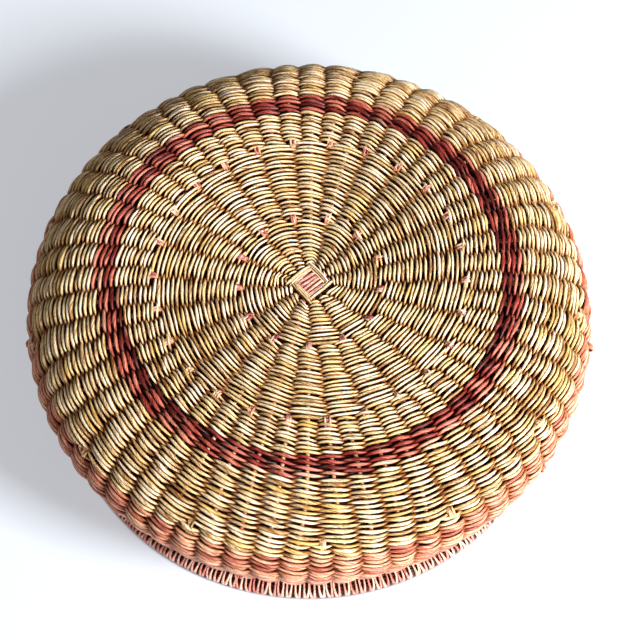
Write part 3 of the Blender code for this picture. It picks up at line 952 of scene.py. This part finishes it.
# Stitches of the rim: closed loops on a superellipse round the rim's section, flat on the floor, two strands
# a stitch that come together at the foot and lean as they go down.
def addRimStitches():
    draws = np.random.default_rng(rim["seed"])
    perColumn = rim["stitchesPerStake"]
    columns = stakePlan["groups"] * stakePlan["slots"]
    stitch = np.arange(columns * perColumn)
    column, place = np.divmod(stitch, perColumn)
    share = rim["firstShare"] + (1 - 2 * rim["firstShare"]) * place / (perColumn - 1)
    low, high = stakeTurn(column, stakeFoot), stakeTurn(column + 1, stakeFoot)
    turn = low + (high - low) * share
    angle = evenAngles(rim["steps"]) + np.pi / 2
    loopHalfWidth = rim["width"] / 2 - rim["halfThickness"]
    loopHalfHeight = rim["height"] / 2 - rim["halfThickness"] - rim["clearOfFloor"]
    power = 2 / rim["power"]
    sectionRadius = rimMiddle - loopHalfWidth * np.sign(np.cos(angle)) * np.abs(np.cos(angle))**power
    sectionHeight = rim["height"] / 2 + loopHalfHeight * np.sign(np.sin(angle)) * np.abs(np.sin(angle))**power
    down = (1 - np.sin(angle)) / 2
    close = np.clip((down - rim["closeFrom"]) / (rim["closeTo"] - rim["closeFrom"]), 0, 1)
    lean = draws.uniform(*rim["lean"], (len(stitch), 1))
    paths = []
    for strand in (-1, 1):
        wobble = draws.uniform(-rim["wobble"], rim["wobble"], (len(stitch), 1))
        beside = strand * (rim["spread"] + (rim["gather"] - rim["spread"]) * close) + lean * (down - 0.5)
        swing = turn[:, None] + (beside + wobble) / sectionRadius
        radius = sectionRadius[None] * (1 + draws.uniform(*rim["uneven"], (len(stitch), 1)))
        height = np.broadcast_to(sectionHeight, radius.shape)
        paths.append(np.stack((radius * np.cos(swing), radius * np.sin(swing), height), axis=-1))
    path = np.concatenate(paths)
    middle = np.stack((np.cos(turn), np.sin(turn), 0 * turn), axis=-1) * rimMiddle
    middle[:, 2] = rim["height"] / 2
    guide = path - np.concatenate((middle, middle))[:, None]
    halfWidth = rim["topHalfWidth"] + (rim["footHalfWidth"] - rim["topHalfWidth"]) * close
    places = carryRound(path, guide, halfWidth, rim["halfThickness"], rim["sides"], closed=True)
    along = np.broadcast_to(np.arange(rim["steps"]) * rim["fibreStep"], path.shape[:2])
    along = along + np.arange(len(path))[:, None] * rim["fibreStart"]
    tone = draws.uniform(*rim["tone"], len(path))[:, None, None]
    cream = draws.uniform(*rim["cream"], (len(path), 1)) - rim["creamLoss"] * down
    # one side of each strand gets more cream, a painted highlight; painted light darkens the other side
    cream = np.clip(cream[..., None] + rim["paintedCreamHighlight"] * np.cos(evenAngles(rim["sides"])), 0, 1)
    tint = tintOf(places, tone, cream, paintedSideLight(rim["sides"], **rim["light"]))
    count = addPiece("rim_stitches", places, along, stakes["twist"], tint, "rimStraw", "pink_straw",
                     "rim_whipping", closed=True)
    print("rim_stitches", count, "triangles")


addRimCore()
addRimStitches()

floorLook = {
    "size": 3.0,
    "colour": (0.76, 0.83, 0.95),
    # painted shadow: the floor's colour under the basket
    "paintedShadowUnderBasket": (0.10, 0.07, 0.05),
    "roughness": 0.6,
    "specular": 0.2,
    "glow": (0.83, 0.86, 0.92),
    "glowShare": 0.5,  # how much of the floor's look is its own pale colour
    "paintedShadowInset": 0.0016,  # inside the rim's outer edge by this much, the floor is painted dark, a painted shadow of the basket
}


# The floor is a flat square that the basket stands on, painted dark under the basket as a painted shadow.
# Round the basket the camera sees half of its own pale colour and half of what the lamps and the basket's
# shadow make of it.
def addFloor():
    half = floorLook["size"] / 2
    corners = [(-half, -half, 0), (half, -half, 0), (half, half, 0), (-half, half, 0)]
    mesh = bpy.data.meshes.new("floor")
    mesh.from_pydata(corners, [], [(0, 1, 2, 3)])
    material = bpy.data.materials.new("paleFloor")
    material.use_nodes = True
    tree = material.node_tree
    shader = tree.nodes["Principled BSDF"]
    shader.inputs["Roughness"].default_value = floorLook["roughness"]
    shader.inputs["Specular IOR Level"].default_value = floorLook["specular"]
    place = addNode(tree, "ShaderNodeTexCoord").outputs["Object"]
    radius = addNode(tree, "ShaderNodeVectorMath", {"operation": "LENGTH"}, {0: place}).outputs["Value"]
    # painted shadow: the floor turns dark inside the rim
    edge = {"From Min": rim["outer"] - floorLook["paintedShadowInset"], "From Max": rim["outer"]}
    colours = ((*floorLook["paintedShadowUnderBasket"], 1), (*floorLook["colour"], 1))
    feed(tree, shader.inputs["Base Color"], mixColours(tree, mapRange(tree, radius, edge), *colours))
    toCamera = addNode(tree, "ShaderNodeLightPath").outputs["Is Camera Ray"]
    share = mapRange(tree, radius, {**edge, "To Max": floorLook["glowShare"]})
    seen = addMath(tree, "MULTIPLY", share, toCamera)
    glow = addNode(tree, "ShaderNodeEmission", None, {"Color": (*floorLook["glow"], 1), "Strength": 1.0})
    pale = mixShaders(tree, seen, shader.outputs["BSDF"], glow.outputs["Emission"])
    # seen from below, the floor is clear, so that the inside of the basket can be looked into
    faces = addNode(tree, "ShaderNodeNewGeometry").outputs["Backfacing"]
    clear = addNode(tree, "ShaderNodeBsdfTransparent").outputs["BSDF"]
    feed(tree, tree.nodes["Material Output"].inputs["Surface"], mixShaders(tree, faces, pale, clear))
    mesh.materials.append(material)
    floor = addObject("floor", mesh)


# Square lamps, which look at the middle of the floor
lamps = {
    "keyLamp": {"place": (1.06, -0.72, 0.97), "size": 0.42, "power": 58.0, "colour": (1.0, 1.0, 0.97)},
    "fillLamp": {"place": (0.35, -1.70, 0.60), "size": 1.0, "power": 5.0, "colour": (1.0, 0.97, 0.93)},
}


def addLamps():
    for name, look in lamps.items():
        lamp = bpy.data.lights.new(name, "AREA")
        lamp.size = look["size"]
        lamp.energy = look["power"]
        lamp.color = look["colour"]
        addObject(name, lamp, look["place"], (-Vector(look["place"])).to_track_quat("-Z", "Y").to_euler())


view = {
    "elevation": 63.0,
    "distance": 1.2,
    "focal": 130.9,
    "roll": 1.3,
    "aimRight": 0.00560,
    "aimDown": 0.02248,
}


# The camera stands the photograph's distance away at its elevation, and aims a little past the middle.
def addCamera():
    lift = math.radians(view["elevation"])
    back = Vector((0, -math.cos(lift), math.sin(lift)))
    upwards = Vector((0, math.sin(lift), math.cos(lift)))
    middle = Vector((0, 0, form["height"]))
    place = middle + back * view["distance"]
    aim = middle + Vector((view["aimRight"], 0, 0)) - upwards * view["aimDown"]
    camera = bpy.data.cameras.new("camera")
    camera.lens = view["focal"]
    roll = Matrix.Rotation(math.radians(view["roll"]), 3, "Z")
    turn = ((aim - place).to_track_quat("-Z", "Y").to_matrix() @ roll).to_euler()
    bpy.context.scene.camera = addObject("camera", camera, place, turn)


room = {
    "light": (1.0, 0.92, 0.84),
    "strength": 0.26,
    "backdrop": (0.86, 0.88, 0.93),
}


# The world lights the basket evenly, and the camera sees it as a pale backdrop past the floor's edge.
def lightTheWorld():
    world = bpy.data.worlds.new("paleRoom")
    world.use_nodes = True
    tree = world.node_tree
    light = tree.nodes["Background"]
    light.inputs["Color"].default_value = (*room["light"], 1)
    light.inputs["Strength"].default_value = room["strength"]
    backdrop = addNode(tree, "ShaderNodeBackground", None, {"Color": (*room["backdrop"], 1), "Strength": 1.0})
    toCamera = addNode(tree, "ShaderNodeLightPath").outputs["Is Camera Ray"]
    seen = mixShaders(tree, toCamera, light.outputs["Background"], backdrop.outputs["Background"])
    feed(tree, tree.nodes["World Output"].inputs["Surface"], seen)
    bpy.context.scene.world = world
    bpy.context.scene.view_settings.view_transform = "Standard"


addFloor()
addLamps()
addCamera()
lightTheWorld()
print("floor, lamps and camera set")
